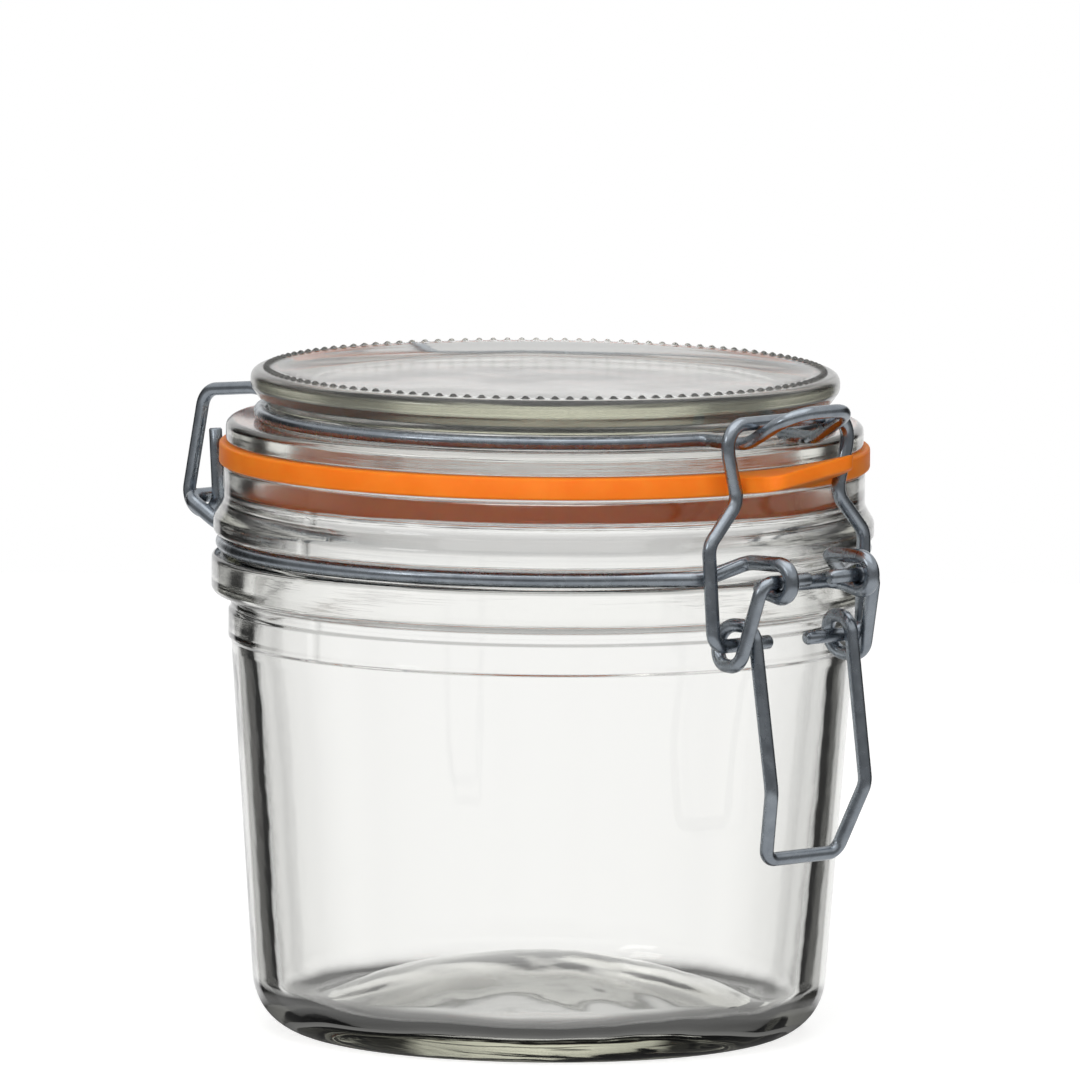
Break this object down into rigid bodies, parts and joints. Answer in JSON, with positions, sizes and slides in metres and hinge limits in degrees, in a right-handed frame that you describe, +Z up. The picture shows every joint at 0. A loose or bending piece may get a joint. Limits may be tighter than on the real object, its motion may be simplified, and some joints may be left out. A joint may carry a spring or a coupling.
{
  "type": "swing-top glass canister",
  "caption": "Squat clear glass preserving jar with a glass lid, an orange rubber gasket and a wire bail latch that pulls the lid down on the rim",
  "frame": {"origin": "centre of the base, on the table plane", "axes": "+Z up along the jar's axis, the latch at -Y, the hinge at +Y, X across"},
  "size_m": [0.1, 0.1255, 0.101],
  "materials": {
    "jar_glass": "clear pressed soda-lime glass",
    "lid_glass": "clear pressed soda-lime glass",
    "gasket_rubber": "smooth matt orange rubber",
    "zinc_wire": "satin zinc-plated drawn wire"
  },
  "bodies": {
    "jar": {"glass_jar": "jar_glass", "neck_ring": "zinc_wire"},
    "lid": {"glass_lid": "lid_glass", "rubber_gasket": "gasket_rubber", "lid_ring": "zinc_wire"},
    "lever": {"lever": "zinc_wire"},
    "clasp": {"clasp": "zinc_wire"}
  },
  "joints": [
    {"name": "lid_hinge", "type": "hinge", "parent": "jar", "child": "lid", "pos_m": [0, 0.0584, 0.07735], "axis": [-1, 0, 0], "range_deg": [0, 110]},
    {"name": "lever_swing", "type": "hinge", "parent": "jar", "child": "lever", "pos_m": [0, -0.0589, 0.0741], "axis": [-1, 0, 0], "range_deg": [0, 135]},
    {"name": "clasp_swing", "type": "hinge", "parent": "lever", "child": "clasp", "pos_m": [0, -0.0525, 0.0643], "axis": [-1, 0, 0], "range_deg": [-95, 0]}
  ],
  "couplings": [
    {"joint": "clasp_swing", "follows": "lever_swing", "ratio": -0.7}
  ]
}
